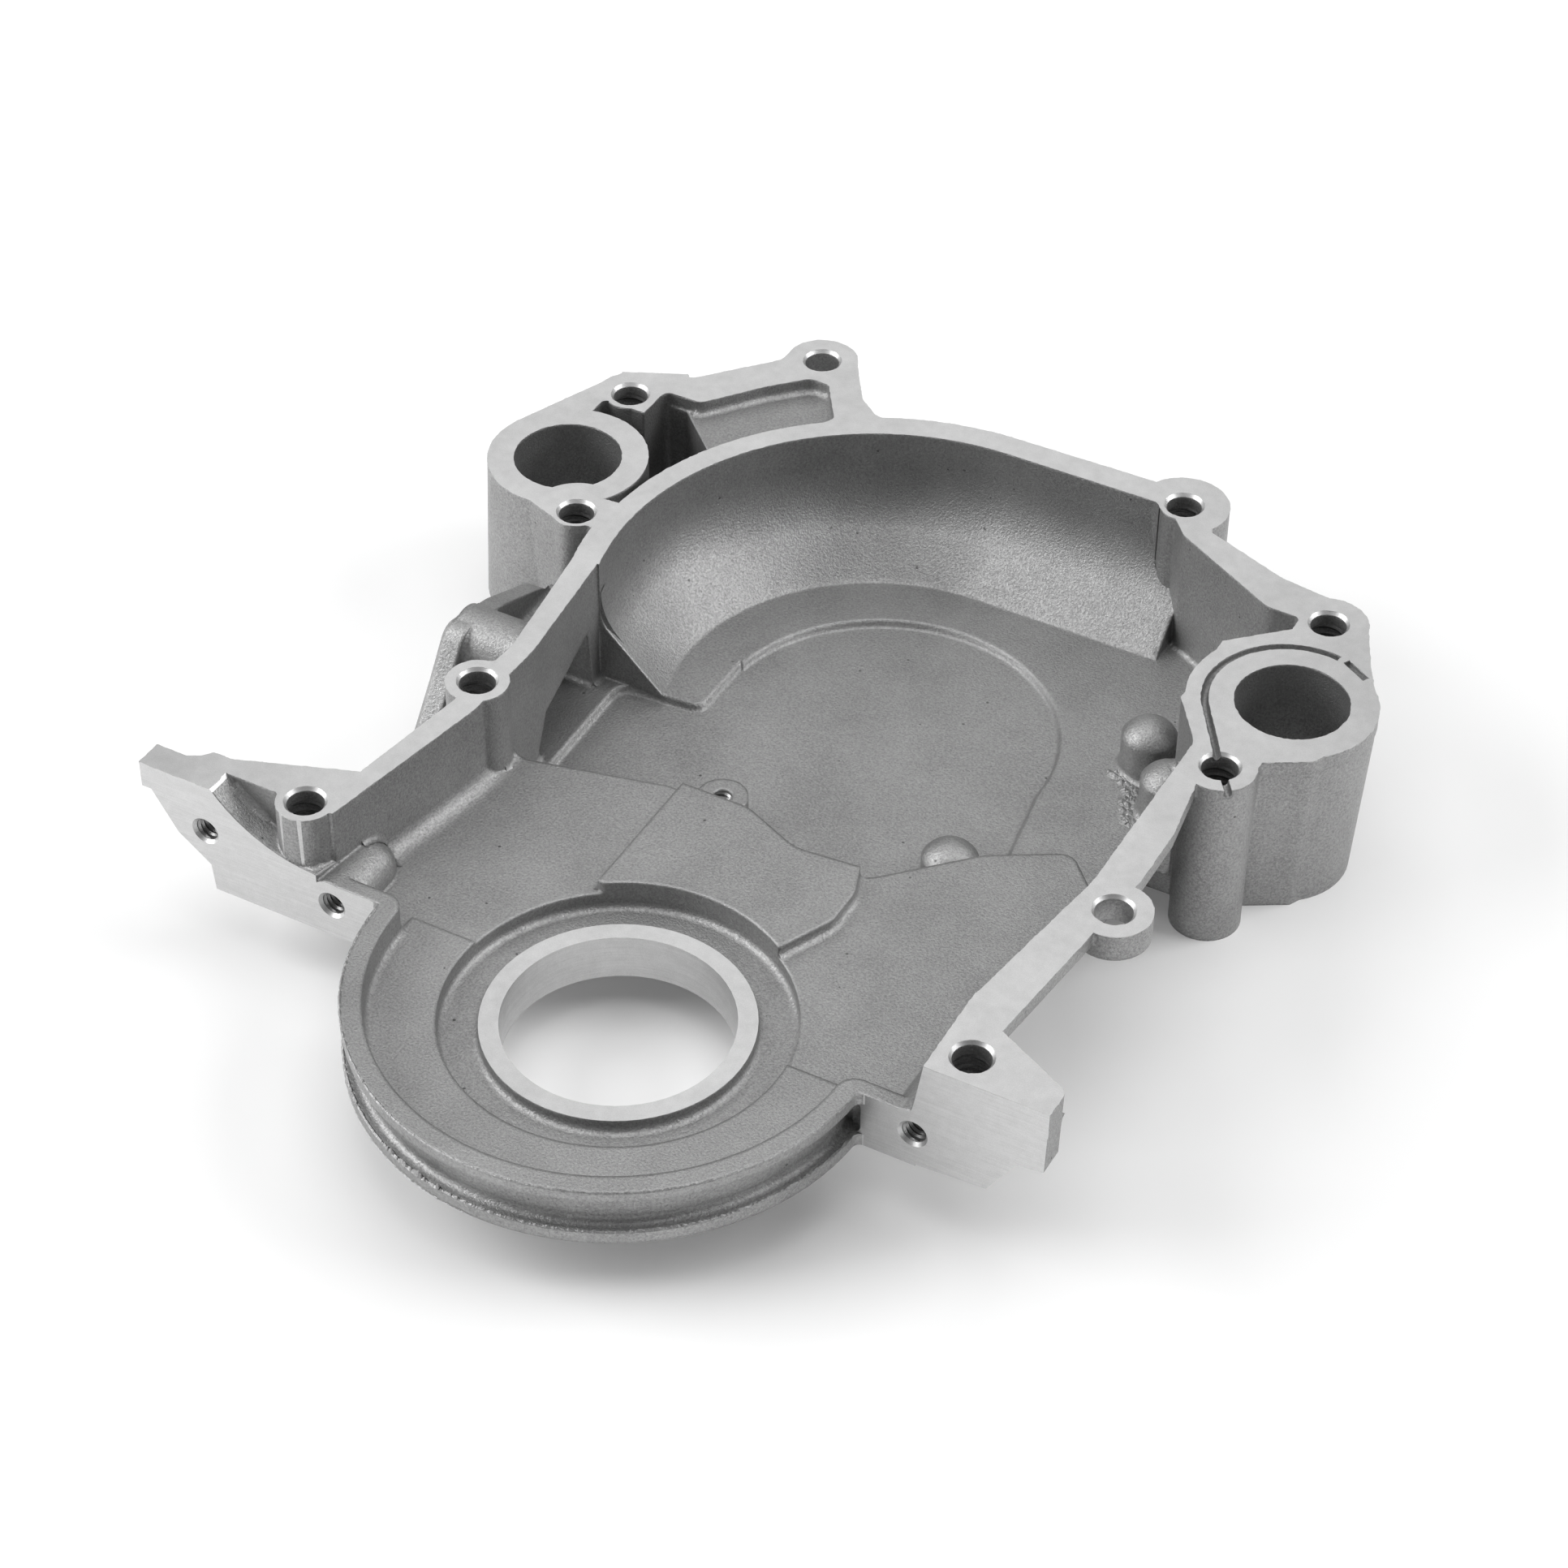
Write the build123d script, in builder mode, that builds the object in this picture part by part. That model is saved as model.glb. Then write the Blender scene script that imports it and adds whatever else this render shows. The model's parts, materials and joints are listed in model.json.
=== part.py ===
from build123d import *
import os

# Timing cover, one aluminium casting, millimetres.
# X runs to the right and Y towards the camshaft as seen from the engine, Z towards the engine.
# The origin is on the crankshaft axis, in the inner face of the seal ring.
# Depths are measured from the machined mounting face towards the front of the engine.

# Levels
face_z = 28.0
flange_depth = 4.5
plate_depth = 8.0
crank_floor_depth = 26.8
crank_front_depth = 31.3
cam_floor_depth = 39.5
cam_sump_depth = cam_floor_depth + 2.0
cam_front_depth = 46.0
pump_depth = 53.0
side_wall = 5.5
overcut = 0.2

# Outer edges that the flange shares with the bodies in front of it: x, y and corner radius
right_port_side = [
    (112.2, 131.9, 0),
    (112.2, 138.4, 0),
    (123.6, 145.2, 3),
    (131, 160, 0),
    (131, 172, 0),
    (122.4, 187.7, 3),
    (114.5, 205.0, 0),
]
left_lug = [(-140.4, 0.4, 0), (-128.6, 7.2, 0), (-126.5, 9.8, 0), (-121.0, 9.8, 3)]
left_lug_x = -141.2
right_lug_x = 119.4
right_lug_top = (119.4, 6.2, 3)

# Step in the floor between the crankshaft and the camshaft: x, y and corner radius
floor_step = [
    (-71.5, 73.1, 10),
    (-33, 82.2, 10),
    (-10, 81.8, 12),
    (10, 73.6, 12),
    (29.5, 74.4, 12),
    (53, 98.5, 14),
    (73, 110.5, 5),
    (84, 99, 4),
]
sump_step = 2.4
front_step = -5.2

# Right wall, which leans inwards below the flange: its three lengths from the rail up,
# then points of its section as distance inwards and height from the face
right_wall = [((86.3, -12), (85.7, 26)), ((85.5, 22), (94.1, 80)), ((93.5, 70), (93.5, 128))]
wall_lean = 14.5
wall_inside = [(0, 0), (2.2, -14), (3.6, -20), (6.6, -24.6), (11.2, -crank_floor_depth)]
wall_outside = [(-5.2, -flange_depth), (-3.6, -13), (-1, -19), (3, -26), (7.4, -crank_front_depth)]

# Bolts through the mounting face: position, boss radius, boss depth
bolt_a = ((-113.4, 200.4), 10.3, pump_depth)
bolt_b = ((-72.9, 242.5), 10.5, 13.0)
bolt_c = ((-98.0, 144.3), 6.8, pump_depth)
bolt_d = ((-82.6, 67.8), 8.6, 20.0)
bolt_e = ((-95.2, 5.5), 7.8, 24.0)
bolt_f = ((49.0, 230.0), 12.8, 22.0)
bolt_g = ((105.0, 200.4), 10.9, pump_depth)
bolt_h = ((103.3, 131.9), 9.7, pump_depth)
bolt_i = ((102.5, 69.0), 10.0, plate_depth)
bolt_j = ((94.8, 5.9), 8.4, 20.0)
bolts = [bolt_a, bolt_b, bolt_c, bolt_d, bolt_e, bolt_f, bolt_g, bolt_h, bolt_i, bolt_j]
bolt_a_inner_r = 7.2
bolt_f_inner_r = 7.0
bolt_hole_r = 4.95
bolt_chamfer = 0.8

# Water ports
port_left = (-113.5, 165.45)
port_right = (109.4, 165.05)
port_r = 15.5
port_ring_r = 22.9
port_wall_r = 28.2
port_foot_r = 22.5
port_step_depth = 45.5
left_port_draft = -2.0
right_port_draft = 3.0

vent_r = 23.1
vent_width = 2.2
vent_depth = 2.5

# Camshaft chamber
chamber_centre = (-4.5, 148.8)
chamber_wall_r = 78.7
chamber_ear_r = 86.5
slope_foot_r = 60.0
slope_end_y = 126.6
slope_wall = 5.0
chamber_top_y = chamber_centre[1] + chamber_wall_r
shoulder_curve_r = 9.0
shoulder_end_x = 53.0
sump_centre = (0.0, 144.0)
sump_r = 48.0
sump_draft = -30.0
wall_fillet = 5.0

# Crankshaft seal
seal_r = 30.0
seal_ring_r = 35.1
seal_boss_r = 35.6
seal_boss_depth = 41.5
recess_r = 45.6
recess_depth = 31.8
recess_wall = 4.2

# Half-round rim with the groove of the oil pan seal
band_depth = 26.0
rim_inner_r = 63.4
rim_r = 69.0
rim_depth = 17.4
rim_bottom_depth = 34.7
groove_r = 65.5
groove_top_depth = 20.6
groove_bottom_depth = 30.9
groove_mouth_r = 69.9
groove_end_y = 1.0

# Oil pan rail
rail_y = -2.7
rail_bottom_depth = 35.2
rail_plate = 8.0
rail_inner_x = (rim_inner_r + rim_r) / 2
ledge_y = 1.9
ledge_end_r = 5.0
rail_hole_r = 3.3
rail_hole_depth = 15.0
rail_chamfer = 0.8
rail_bump_r = 7.5
rail_bump_end_y = 14.0
rail_boss_r = 6.6
rail_holes = [(-122.1, -15.7), (-83.7, -24.6), (84.0, -24.1)]

rail_face = Plane(origin=(0, rail_y, face_z), x_dir=(1, 0, 0), z_dir=(0, -1, 0))

left_pocket_y = 4.7
band_end_y = 5.0

# Fuel pump boss on the outside of the left wall
pump_boss_x = -104.8
pump_boss_pad = 7.0
pump_boss_chamfer = 1.6
pump_boss_bottom_depth = 43.0
pump_block_depth = 17.0
pump_spine = (93.0, 10.0)
pump_spine_r = 9.0
pump_spine_x = -102.8
pump_spine_length = 20.0
pump_boss_top = [
    (67.0, 43.0, 0),
    (67.0, 27.0, 0),
    (76.5, 14.6, 10),
    (86.0, 0.8, 7),
    (105.0, 5.9, 10),
    (125.8, 14.4, 12),
    (138.0, 27.5, 0),
    (138.0, 43.0, 0),
]

# Opening for the fuel pump arm, through the left wall and the pad
arm_recess = [(119.5, 19), (92, 26), (85, 39.5), (121.5, 39.5)]
arm_recess_x = (-95.0, -74.0)
arm_recess_r = 3.0
arm_opening = (24.0, 13.0)
arm_opening_y = 104.0
arm_opening_depth = 31.5
pump_boss_holes = (79.0, 128.0)
pump_boss_hole_r = 4.0
pump_boss_hole_depth = 8.0

# Web under the top left bolt, and the pocket beside it
web_depth = 9.5
web_floor_depth = 4.5
upper_pocket_r = 85.2
upper_pocket_depth = 40.0

# Seat of the water pump on the front
upper_rail_width = 8.0
lower_rail_width = 14.0
rail_spur_end = (65.5, 170.9)
pump_rail_height = 25.0
blind_hole_depth = 15.0

# Water pump studs that end in the camshaft chamber
pump_stud = (-21.0, 90.4)
pump_stud_r = 2.6
pump_stud_boss_r = 7.0
pump_stud_depth = 31.5
domes = [
    ((42.6, 99.9), 7.7, 28.4),
    ((70.0, 165.6), 7.7, 23.2),
    ((82.3, 151.0), 7.7, 23.2),
]
dome_r = 8.6

# Raised pad between the seal and the camshaft chamber
pad_depth = 23.2


def at_depth(depth):
    """Plane parallel to the mounting face."""
    return Plane.XY.offset(face_z - depth)


def outline(*corners, mode=Mode.ADD):
    """Closed outline through corners, each given as x, y and corner radius."""
    points = [(x, y) for x, y, r in corners]
    radii = [r for x, y, r in corners]
    with BuildLine() as path:
        FilletPolyline(*points, radius=radii, close=True)
    make_face(path.edges(), mode=mode)


def cavity_outline():
    """Opening of the chain case in the mounting face."""
    with Locations(chamber_centre):
        Circle(chamber_wall_r)
    outline(
        (86.3, -12, 0),
        (85.7, 24, 30),
        (93.5, 76, 30),
        (93.5, 137.5, 3),
        (83.0, 152.5, 0),
        (83.0, 179.5, 0),
        (97.4, 193.3, 0),
        (97.4, 198.9, 0),
        (87.5, 199.2, 8),
        (54.5, 217.3, 3),
        (45.5, chamber_top_y, 3),
        (chamber_centre[0], chamber_top_y, 0),
        (chamber_centre[0] - 60, chamber_centre[1], 0),
        (chamber_centre[0] - chamber_wall_r, chamber_centre[1], 0),
        (-76.4, 86, 20),
        (-77.0, 57, 0),
        (-89.6, -12, 0),
    )
    with Locations(port_right):
        Circle(port_wall_r, mode=Mode.SUBTRACT)
    for centre, boss_r, depth in [bolt_d, bolt_e]:
        with Locations(centre):
            Circle(boss_r, mode=Mode.SUBTRACT)
    with Locations(bolt_f[0]):
        Circle(bolt_f_inner_r, mode=Mode.SUBTRACT)


def chamber_limits(shift, rounded=True):
    """Part of the chain case beyond the step in its floor, the step moved along Y."""
    outline(
        (-110, floor_step[0][1] + shift, 0),
        *[(x, y + shift, r if rounded else 0) for x, y, r in floor_step],
        (130, floor_step[-1][1] + shift, 0),
        (130, 260, 0),
        (-110, 260, 0),
        mode=Mode.INTERSECT,
    )


def shoulder(thickness, wall_thickness, curve_r):
    """Everything in front of the sloping shoulder round the top of the camshaft chamber."""
    wall = chamber_wall_r + wall_thickness + overcut
    reach = wall + side_wall
    drop = cam_floor_depth + thickness * 2**0.5
    section = Plane(origin=(*chamber_centre, face_z), x_dir=(0, 1, 0), z_dir=(1, 0, 0))
    with BuildPart() as slope:
        with BuildSketch(section) as profile:
            outline(
                (slope_foot_r, -drop, 0),
                (wall, wall - slope_foot_r - drop, curve_r),
                (wall, overcut, 0),
                (reach, overcut, 0),
                (reach, -drop - 5, 0),
                (slope_foot_r, -drop - 5, 0),
            )
        revolve(axis=Axis((*chamber_centre, 0), (0, 0, 1)), revolution_arc=115)
        extrude(profile.sketch, amount=shoulder_end_x - chamber_centre[0] - thickness)
        with Locations((chamber_centre[0] - reach, slope_end_y + thickness)):
            Box(200, 60, 200, align=(Align.CENTER, Align.MAX, Align.CENTER), mode=Mode.SUBTRACT)
    return slope.part


def leaning_wall(start, end, *points):
    """Cut a section along a wall, its points given as distance inwards and height from the face."""
    along = Vector(*end) - Vector(*start)
    across = Plane(origin=(*start, face_z), x_dir=along.rotate(Axis.Z, 90), z_dir=along)
    with BuildSketch(across) as section:
        with BuildLine():
            Polyline(*points, (-30, points[-1][1]), (-30, points[0][1]), close=True)
        make_face()
    extrude(section.sketch, amount=along.length, mode=Mode.SUBTRACT)


inner_shoulder = shoulder(0, 0, shoulder_curve_r)
outer_shoulder = shoulder(slope_wall, side_wall, 0)

# The chain case as a solid body, to be cut out of the casting
with BuildPart() as cavity:
    with BuildSketch(at_depth(crank_floor_depth)):
        cavity_outline()
    extrude(amount=crank_floor_depth)
    with BuildSketch(at_depth(cam_floor_depth)):
        cavity_outline()
        chamber_limits(0)
    extrude(amount=cam_floor_depth)
    add(inner_shoulder, mode=Mode.SUBTRACT)
    for start, end in right_wall[:2]:
        leaning_wall(start, end, *wall_inside)
    leaning_wall(*right_wall[2], (0, 0), (wall_lean, -cam_floor_depth))
    with BuildSketch(at_depth(cam_sump_depth)):
        with Locations(sump_centre):
            Circle(sump_r)
        outline(
            (-48.5, 150, 0),
            (-48.5, 127.5, 4),
            (-73.5, 125.5, 4),
            (-71.5, 60, 0),
            (12, 60, 0),
            (54, 103, 0),
            (47.5, 144, 0),
        )
        chamber_limits(sump_step)
    extrude(amount=cam_sump_depth - cam_floor_depth, taper=sump_draft)
    crank_floor_z = face_z - crank_floor_depth
    wall_foot = cavity.edges().filter_by_position(Axis.Z, crank_floor_z - 0.01, crank_floor_z + 0.01)
    wall_foot = wall_foot.filter_by_position(Axis.Y, -20, 72).filter_by_position(Axis.X, -90, -60)
    fillet(wall_foot.filter_by(GeomType.LINE), radius=wall_fillet)


def dome_top(centre, radius, top_depth):
    """Round end of a post, from the centre of its sphere up."""
    with BuildPart() as cap:
        with BuildSketch(at_depth(top_depth + dome_r)):
            with Locations(centre):
                Circle(radius)
        extrude(amount=dome_r + overcut)
        with Locations((*centre, face_z - top_depth - dome_r)):
            Sphere(dome_r, rotation=(90, 0, 0), mode=Mode.INTERSECT)
    return cap.part


def chain_case_walls():
    """Outside of the chain case walls."""
    with Locations(chamber_centre):
        Circle(chamber_wall_r + side_wall)
    outline(
        (91.5, rail_y, 0),
        (91.0, 24, 0),
        (99.0, 76, 0),
        (99.0, 150, 0),
        (101.0, 204, 0),
        (88.5, 204.5, 0),
        (62.0, 219.0, 0),
        (50.0, 233.5, 0),
        (chamber_centre[0], chamber_top_y + side_wall, 0),
        (-60, 150, 0),
        (chamber_centre[0] - chamber_wall_r - side_wall, chamber_centre[1], 0),
        (-82.4, 86, 0),
        (-83.2, 57, 0),
        (-92.6, rail_y, 0),
    )


def right_edge():
    """Mounting face from the rail up the right side to the top."""
    outline(
        (right_lug_x, rail_y, 0),
        right_lug_top,
        (97.2, 17, 0),
        (103.9, 82, 0),
        (103.7, 102, 0),
        (100.5, 124, 0),
        *right_port_side,
        (101.0, 210.5, 0),
        (86.0, 212.6, 12),
        (61.0, 222.0, 0),
        (56, 232, 0),
        (40, 236, 0),
        (chamber_centre[0], chamber_centre[1] + chamber_ear_r, 0),
        (0, 100, 0),
        (0, rail_y, 0),
    )


def left_edge():
    """Mounting face up the left side, from the rail to the step of the camshaft chamber."""
    outline(
        (left_lug_x, rail_y, 0),
        *left_lug,
        (-89.2, 21.8, 0),
        (-83.8, 57, 0),
        (-81.3, 78.5, 0),
        (-88.0, 126, 0),
        (-90, 150, 0),
        (0, 150, 0),
        (0, rail_y, 0),
    )


def upper_left_edge():
    """Mounting face round the left water port and the top left bolts."""
    outline(
        (-40, 225.6, 0),
        (-46.5, 225.6, 5),
        (-53.5, 231, 6),
        (-64.5, 248, 0),
        (-81.8, 246, 0),
        (-83.8, 236.5, 3),
        (-101.5, 216.2, 6),
        (-120.6, 208.8, 4),
        (-134.7, 174.1, 0),
        (port_left[0], 142.6, 0),
        (-104.5, 142.8, 0),
        (-91, 145.8, 0),
        (-60, 150, 0),
    )


# Fuel pump boss: a pad along the side, the block behind it and a half-round spine to the wall
with BuildPart() as pump_boss:
    with BuildSketch(Plane.YZ.offset(pump_boss_x)):
        outline(*[(y, face_z - depth, r) for y, depth, r in pump_boss_top])
    extrude(amount=pump_boss_pad)
    pad_rim = pump_boss.edges().group_by(Axis.X)[0].sort_by(Axis.Z)[1:]
    chamfer(pad_rim, pump_boss_chamfer)
    with BuildSketch(at_depth(pump_boss_bottom_depth)):
        outline(
            (pump_boss_x + pump_boss_pad - 1, 82, 0),
            (pump_boss_x + pump_boss_pad - 1, 131, 0),
            (-86, 131, 0),
            (-80, 82, 0),
        )
    extrude(amount=pump_boss_bottom_depth - pump_block_depth)
    with BuildSketch(Plane.YZ.offset(pump_spine_x)):
        with Locations((pump_spine[0], face_z - pump_spine[1])):
            Circle(pump_spine_r)
    extrude(amount=pump_spine_length)

# The casting
with BuildPart() as timing_cover:
    # Walls of the chain case over the crankshaft and round the camshaft chamber
    with BuildSketch(at_depth(crank_front_depth)):
        chain_case_walls()
    extrude(amount=crank_front_depth)
    with BuildSketch(at_depth(cam_front_depth)):
        chain_case_walls()
        chamber_limits(front_step, rounded=False)
    extrude(amount=cam_front_depth)
    add(outer_shoulder, mode=Mode.SUBTRACT)
    for start, end in right_wall[:2]:
        leaning_wall(start, end, *wall_outside)
    leaning_wall(*right_wall[2], (-4.5, -flange_depth), (wall_lean - 5, -cam_front_depth))

    # Mounting flange
    with BuildSketch(at_depth(flange_depth)):
        right_edge()
        left_edge()
        upper_left_edge()
        with Locations(chamber_centre):
            Circle(chamber_ear_r)
        with Locations(port_left, port_right):
            Circle(port_ring_r)
    extrude(amount=flange_depth)

    # Bosses round the bolt holes
    for centre, boss_r, depth in bolts:
        with BuildSketch(at_depth(depth)):
            with Locations(centre):
                Circle(boss_r)
        extrude(amount=depth)

    # Left port housing, which widens down to a step, and the body behind it
    with BuildSketch(at_depth(0)):
        with Locations(port_left):
            Circle(port_ring_r)
    extrude(amount=-port_step_depth, taper=left_port_draft)
    with BuildSketch(at_depth(pump_depth)):
        with Locations(port_left):
            Circle(port_foot_r)
        outline(
            (-134.7, 174.1, 0),
            (-121, 208, 0),
            (-107, 212.5, 0),
            (-97.5, 192, 0),
            (-90, 165, 0),
            (-91.2, 144.3, 0),
            (-98, 137.5, 0),
            (-113.5, 143.0, 0),
        )
    extrude(amount=pump_depth)
    with BuildSketch(at_depth(cam_front_depth)):
        outline(
            (-121, 208.8, 0),
            (-104, 217, 0),
            (-97.5, 211.5, 0),
            (-78, 194.0, 0),
            (-60, 150, 0),
            (-91, 140, 0),
            (-115, 150, 0),
        )
    extrude(amount=cam_front_depth)

    # Right port housing and the body behind it, which narrow towards the front
    with BuildSketch(at_depth(0)):
        with Locations(port_right):
            Circle(port_ring_r)
        outline(
            (94.5, 128, 0),
            *right_port_side,
            (100, 209.5, 0),
            (90, 190, 0),
            (84, 165, 0),
            (88, 140, 0),
        )
    extrude(amount=-pump_depth, taper=right_port_draft)

    # Web under the top left bolt
    with BuildSketch(at_depth(web_depth)):
        upper_left_edge()
    extrude(amount=web_depth)

    # Mounting plates of the oil pan rail, left and right
    with BuildSketch(at_depth(plate_depth)):
        outline(
            (left_lug_x, rail_y, 0),
            *left_lug,
            (-88.0, 22.3, 0),
            (-85, rail_y, 0),
        )
        outline(
            (right_lug_x, rail_y, 0),
            right_lug_top,
            (94, 18.6, 0),
            (88, 18.6, 0),
            (88, rail_y, 0),
        )
    extrude(amount=plate_depth)

    # Face of the oil pan rail
    with BuildSketch(rail_face):
        with BuildLine():
            Polyline(
                (left_lug_x, 0),
                (-140.8, -4),
                (-131, -19.7),
                (-124, -25),
                (-121.4, -27),
                (-120.6, -rail_bottom_depth),
                (-rail_inner_x, -rail_bottom_depth),
                (-rail_inner_x, -rim_depth),
                (rail_inner_x, -rim_depth),
                (rail_inner_x, -rim_bottom_depth),
                (78, -rim_bottom_depth),
                (104.1, -32.9),
                (111.5, -21),
                (118.9, -19.7),
                (right_lug_x, 0),
                close=True,
            )
        make_face()
    extrude(amount=-rail_plate)

    # Fuel pump boss on the left wall
    add(pump_boss.part)

    # Seat of the water pump on the front, a raised rail between the port housings
    with BuildSketch(at_depth(pump_depth)):
        with BuildLine() as upper_rail:
            Polyline(port_left, (-58, 200), (-20, 209), (36, 209), port_right)
        trace(upper_rail.line, line_width=upper_rail_width)
        with BuildLine() as lower_rail:
            Polyline(bolt_c[0], (-62, 97), pump_stud, domes[0][0], domes[2][0], port_right)
        trace(lower_rail.line, line_width=lower_rail_width)
        with BuildLine() as rail_spur:
            Line(domes[2][0], rail_spur_end)
        trace(rail_spur.line, line_width=lower_rail_width)
    extrude(amount=pump_rail_height)

    # Chain case
    add(cavity.part, mode=Mode.SUBTRACT)

    # Recess in the left wall for the fuel pump arm, open to the outside through the pad
    with BuildSketch(Plane.YZ.offset(arm_recess_x[0])) as arm_mouth:
        with BuildLine():
            Polyline(*[(y, face_z - depth) for y, depth in arm_recess], close=True)
        make_face()
        fillet(arm_mouth.vertices().sort_by(Axis.X)[0], radius=arm_recess_r)
    extrude(amount=arm_recess_x[1] - arm_recess_x[0], mode=Mode.SUBTRACT)
    with BuildSketch(Plane.YZ.offset(pump_boss_x)):
        with Locations((arm_opening_y, face_z - arm_opening_depth)):
            Rectangle(*arm_opening)
    extrude(amount=arm_recess_x[0] - pump_boss_x + 1, mode=Mode.SUBTRACT)
    for y in pump_boss_holes:
        with Locations(Plane(origin=(pump_boss_x, y, face_z - arm_opening_depth), z_dir=(-1, 0, 0))):
            Hole(pump_boss_hole_r, pump_boss_hole_depth)

    # Half-round rim with its two lips, and the ledge that carries it on to the side walls
    with BuildSketch(at_depth(rim_bottom_depth)) as rim_shape:
        Circle(rim_r)
        with Locations((0, ledge_y)):
            Rectangle(4 * rim_r, 2 * rim_r, align=(Align.CENTER, Align.MIN), mode=Mode.SUBTRACT)
        with Locations((0, rail_y)):
            Rectangle(170, ledge_y - rail_y, align=(Align.CENTER, Align.MIN))
        Circle(rim_inner_r, mode=Mode.SUBTRACT)
        ends = rim_shape.vertices().filter_by_position(Axis.Y, ledge_y - 0.1, ledge_y + 0.1)
        fillet(ends.sort_by(Axis.X)[1:3], radius=ledge_end_r)
    extrude(amount=rim_bottom_depth - rim_depth)

    # Floor inside the rim, with a low step where the machining stops
    with BuildSketch(at_depth(crank_front_depth)):
        Circle(rim_inner_r + 1)
        with Locations((0, band_end_y)):
            Rectangle(4 * rim_r, 2 * rim_r, align=(Align.CENTER, Align.MIN), mode=Mode.SUBTRACT)
    extrude(amount=crank_front_depth - band_depth)

    # Raised pad
    with BuildSketch(at_depth(crank_floor_depth)):
        outline(
            (-28.2, 37.5, 0),
            (24.4, 37.5, 0),
            (31.9, 54, 8),
            (31.9, 66, 10),
            (28.6, 75.3, 0),
            (10, 73.6, 12),
            (-8, 81.5, 10),
            (-28.2, 81.6, 0),
        )
    extrude(amount=crank_floor_depth - pad_depth)

    # Ring-shaped recess round the seal, and the seal boss
    with BuildSketch(at_depth(recess_depth + recess_wall)):
        Circle(recess_r + recess_wall)
    extrude(amount=recess_depth + recess_wall - crank_front_depth)
    with BuildSketch(at_depth(recess_depth)):
        Circle(recess_r)
    extrude(amount=recess_depth, mode=Mode.SUBTRACT)
    with BuildSketch(at_depth(seal_boss_depth)):
        Circle(seal_boss_r)
    extrude(amount=seal_boss_depth - recess_depth)
    with BuildSketch(at_depth(face_z)):
        Circle(seal_ring_r)
    extrude(amount=face_z - recess_depth - recess_wall)
    with BuildSketch(at_depth(seal_boss_depth + 1)):
        Circle(seal_r)
    extrude(amount=seal_boss_depth + 1, mode=Mode.SUBTRACT)

    # Groove of the oil pan seal
    with BuildSketch(at_depth(groove_bottom_depth)):
        Circle(groove_mouth_r)
        Circle(groove_r, mode=Mode.SUBTRACT)
        with Locations((0, groove_end_y)):
            Rectangle(4 * rim_r, 2 * rim_r, align=(Align.CENTER, Align.MIN), mode=Mode.SUBTRACT)
    extrude(amount=groove_bottom_depth - groove_top_depth, mode=Mode.SUBTRACT)

    # Pocket beside the lower left bolt
    with BuildSketch(rail_face):
        with BuildLine():
            Polyline((-88.9, -15.9), (-82, -17.4), (-82, 1), (-119.2, 1), (-119.2, 0))
            ThreePointArc((-119.2, 0), (-106.8, -10.7), (-88.9, -15.9))
        make_face()
    extrude(amount=rail_y - left_pocket_y, mode=Mode.SUBTRACT)
    centre, boss_r, depth = bolt_e
    with BuildSketch(at_depth(depth)):
        with Locations(centre):
            Circle(boss_r)
    extrude(amount=depth)

    # Pocket between the left water port and the camshaft chamber
    with BuildSketch(at_depth(web_floor_depth)) as upper_pocket:
        outline(
            (-118.8, 186, 0),
            (-118.8, 194.3, 0),
            (-105.4, 194.3, 0),
            (-105.4, 206.6, 3),
            (-93.5, 206.6, 4),
            (-81.0, 222.8, 20),
            (-71.5, 232.8, 5),
            (-65.3, 232.6, 2),
            (-56.0, 218.4, 2),
            (-62.0, 208, 0),
            (-60.0, 170, 0),
            (-86.0, 153.5, 0),
            (-100, 152.5, 0),
            (-113.5, 165, 0),
        )
        with Locations(chamber_centre):
            Circle(upper_pocket_r, mode=Mode.SUBTRACT)
        with Locations(port_left):
            Circle(port_ring_r, mode=Mode.SUBTRACT)
        with Locations(bolt_a[0]):
            Circle(bolt_a_inner_r, mode=Mode.SUBTRACT)
    extrude(amount=web_floor_depth, mode=Mode.SUBTRACT)
    with BuildSketch(at_depth(upper_pocket_depth)):
        add(upper_pocket.sketch)
        outline(
            (-97.9, 206.2, 0),
            (-83.1, 192.4, 2),
            (-70, 180, 0),
            (-90, 160, 0),
            (-97, 160, 0),
            (-130, 180, 0),
            (-130, 206.2, 0),
            mode=Mode.INTERSECT,
        )
    extrude(amount=upper_pocket_depth, mode=Mode.SUBTRACT)

    # Bosses over the blind ends of the rail holes, the left one with a round end
    with BuildSketch(rail_face):
        with Locations(*rail_holes[1:]):
            Circle(rail_bump_r)
    extrude(amount=rail_y - rail_bump_end_y)
    left_hole_x, left_hole_height = rail_holes[1]
    with Locations((left_hole_x, rail_bump_end_y, face_z + left_hole_height)):
        Sphere(rail_bump_r)
    with BuildSketch(rail_face):
        with Locations(rail_holes[0]):
            Circle(rail_boss_r)
    extrude(amount=-rail_hole_depth)

    # Threaded boss and domes on the floor of the camshaft chamber
    with BuildSketch(at_depth(cam_sump_depth)):
        with Locations(pump_stud):
            Circle(pump_stud_boss_r)
    extrude(amount=cam_sump_depth - pump_stud_depth)
    for centre, radius, top_depth in domes:
        with BuildSketch(at_depth(cam_sump_depth)):
            with Locations(centre):
                Circle(radius)
        extrude(amount=cam_sump_depth - top_depth - dome_r)
        add(dome_top(centre, radius, top_depth))

    # Holes for the water pump studs, cut from the front
    with BuildSketch(at_depth(pump_depth)):
        with Locations(pump_stud):
            Circle(pump_stud_r)
    extrude(amount=pump_depth - pump_stud_depth + 1, mode=Mode.SUBTRACT)
    with BuildSketch(at_depth(pump_depth)):
        with Locations(*[centre for centre, radius, top_depth in domes]):
            Circle(rail_hole_r)
    extrude(amount=blind_hole_depth, mode=Mode.SUBTRACT)

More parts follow.
